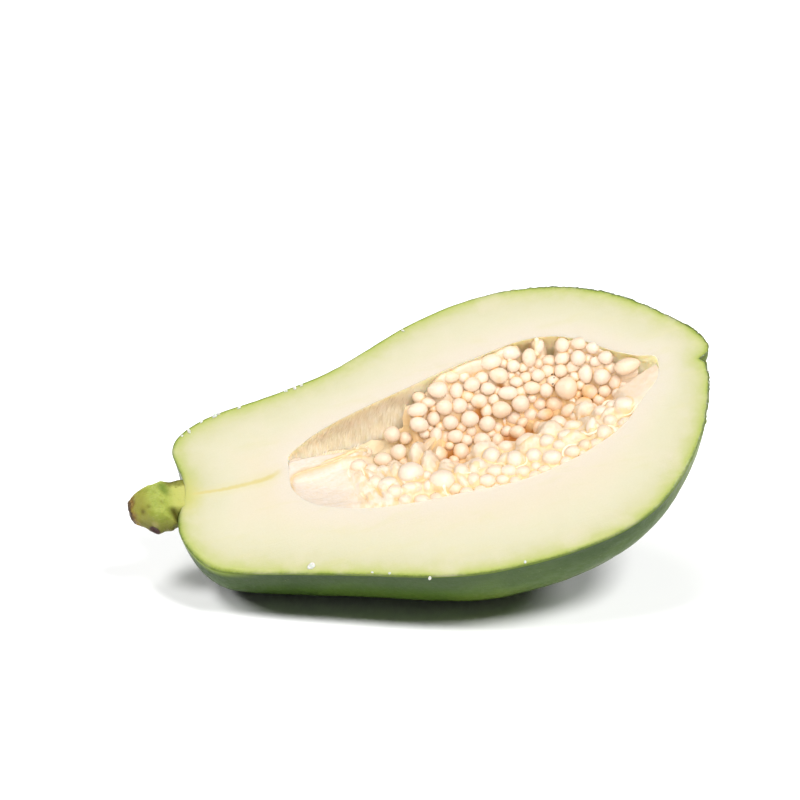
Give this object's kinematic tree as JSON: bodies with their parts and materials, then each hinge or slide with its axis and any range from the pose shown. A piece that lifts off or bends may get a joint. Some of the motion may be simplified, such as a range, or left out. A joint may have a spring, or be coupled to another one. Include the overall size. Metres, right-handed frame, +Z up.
{
  "type": "papaya half",
  "caption": "Green papaya cut in half lengthwise, lying on its rounded back with the cut face and its pale seeds tilted up, with a stub of stem.",
  "frame": {"origin": "middle of the bounding box's base, on the surface that the fruit half rests on", "axes": "+X along the fruit from the stem end to the blossom end, -Y the side that the cut face leans towards, +Z up"},
  "size_m": [0.1988, 0.1024, 0.0836],
  "materials": {
    "fruit": "moist cream to yellow-green flesh, waxy green skin on the outside",
    "stem": "green, knobby, with dry brown scars",
    "seeds": "pearly cream, moist"
  },
  "bodies": {
    "root": {"fruit_half": "fruit", "stem": "stem", "seeds_stem_end": "seeds", "seeds_near_1": "seeds", "seeds_near_2": "seeds", "seeds_near_3": "seeds", "seeds_near_4": "seeds", "seeds_far_1": "seeds", "seeds_far_2": "seeds", "seeds_far_3": "seeds", "seeds_far_4": "seeds", "seeds_far_5": "seeds"}
  },
  "joints": []
}
